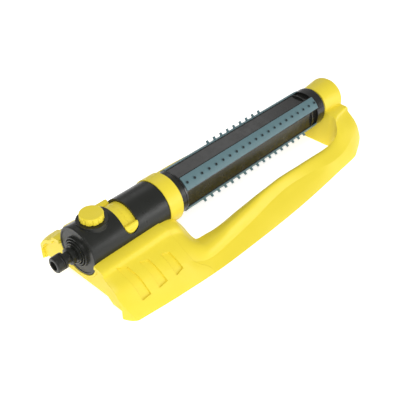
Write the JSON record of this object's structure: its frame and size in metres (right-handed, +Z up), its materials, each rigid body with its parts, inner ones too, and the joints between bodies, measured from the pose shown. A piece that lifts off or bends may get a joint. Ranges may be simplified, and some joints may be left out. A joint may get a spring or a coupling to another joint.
{
  "type": "oscillating lawn sprinkler",
  "caption": "Oscillating lawn sprinkler: a swinging spray tube with soft nozzle strips on a moulded ground frame, driven by a geared water motor.",
  "frame": {"origin": "centre of the footprint on the ground, below the middle of the overall length", "axes": "+X from the hose end to the far end along the spray tube's axis, +Z up, -Y is the side that the nozzles lean to at rest"},
  "size_m": [0.4252, 0.1592, 0.0771],
  "materials": {
    "yellow_plastic": "satin moulded",
    "black_plastic": "fine texture",
    "nozzle_rubber": "soft matt",
    "seal_rubber": "matt",
    "steel": "drawn",
    "gear_plastic": "natural moulded",
    "inner_plastic": "moulded"
  },
  "bodies": {
    "base": {"base_frame": "yellow_plastic", "housing_screws": "steel", "gearbox_housing": "black_plastic", "inlet_end_plate": "black_plastic", "hose_nipple": "black_plastic", "nipple_o_ring": "seal_rubber", "inlet_filter": "steel", "pressure_case": "inner_plastic", "valve_body": "inner_plastic", "turbine_jet_plate": "inner_plastic", "gear_plate_inlet": "inner_plastic", "gear_plate_outlet": "inner_plastic", "gear_pin": "steel", "bearing_ring": "yellow_plastic", "pivot_pin": "steel", "thrust_washer": "gear_plastic"},
    "flow_valve": {"valve_plug": "inner_plastic", "valve_o_rings": "seal_rubber", "flow_knob": "yellow_plastic"},
    "front_range_adjuster": {"range_ring_front": "yellow_plastic"},
    "rear_range_adjuster": {"range_ring_rear": "yellow_plastic"},
    "reverser": {"reversing_disc": "inner_plastic"},
    "turbine": {"turbine_wheel": "gear_plastic", "turbine_shaft": "steel", "turbine_pinion": "gear_plastic"},
    "gear_1": {"compound_gear_1": "gear_plastic"},
    "gear_2": {"compound_gear_2": "gear_plastic"},
    "gear_3": {"compound_gear_3": "gear_plastic"},
    "drive_tube": {"output_shaft": "gear_plastic", "tube_collar": "black_plastic", "shaft_seal": "seal_rubber", "water_tube": "inner_plastic", "tube_plug": "inner_plastic"},
    "nozzle_sleeve": {"spray_tube": "black_plastic", "nozzle_strip_top": "nozzle_rubber", "nozzle_strip_front": "nozzle_rubber", "nozzle_strip_rear": "nozzle_rubber", "tube_end_cap": "black_plastic", "pivot_bush": "gear_plastic"}
  },
  "joints": [
    {"name": "flow_knob_turn", "type": "hinge", "parent": "base", "child": "flow_valve", "pos_m": [-0.1664, 0, 0.044], "axis": [0, 0, 1], "range_deg": [0, 90]},
    {"name": "front_range_slide", "type": "hinge", "parent": "base", "child": "front_range_adjuster", "pos_m": [-0.1447, 0, 0.044], "axis": [1, 0, 0], "range_deg": [-45, 0]},
    {"name": "rear_range_slide", "type": "hinge", "parent": "base", "child": "rear_range_adjuster", "pos_m": [-0.1345, 0, 0.044], "axis": [1, 0, 0], "range_deg": [0, 45]},
    {"name": "reverser_flip", "type": "hinge", "parent": "base", "child": "reverser", "pos_m": [-0.153, 0, 0.044], "axis": [1, 0, 0], "range_deg": [-15, 15]},
    {"name": "tube_swing", "type": "hinge", "parent": "base", "child": "drive_tube", "pos_m": [-0.085, 0, 0.044], "axis": [1, 0, 0], "range_deg": [-88, 2]},
    {"name": "pattern_select", "type": "hinge", "parent": "drive_tube", "child": "nozzle_sleeve", "pos_m": [0.04, 0, 0.044], "axis": [1, 0, 0], "range_deg": [-80, 80]},
    {"name": "turbine_spin", "type": "hinge", "parent": "base", "child": "turbine", "pos_m": [-0.145, 0, 0.044], "axis": [1, 0, 0], "range_deg": [-5408.9, 122.9]},
    {"name": "gear_1_spin", "type": "hinge", "parent": "base", "child": "gear_1", "pos_m": [-0.13, -0.0095, 0.044], "axis": [1, 0, 0], "range_deg": [-44, 1932]},
    {"name": "gear_2_spin", "type": "hinge", "parent": "base", "child": "gear_2", "pos_m": [-0.129, 0, 0.044], "axis": [1, 0, 0], "range_deg": [-690, 16]},
    {"name": "gear_3_spin", "type": "hinge", "parent": "base", "child": "gear_3", "pos_m": [-0.13, -0.0095, 0.044], "axis": [1, 0, 0], "range_deg": [-6, 247]}
  ],
  "couplings": [
    {"joint": "gear_1_spin", "follows": "turbine_spin", "ratio": -0.35714},
    {"joint": "gear_2_spin", "follows": "turbine_spin", "ratio": 0.12755},
    {"joint": "gear_3_spin", "follows": "turbine_spin", "ratio": -0.045554},
    {"joint": "tube_swing", "follows": "turbine_spin", "ratio": 0.016269}
  ]
}
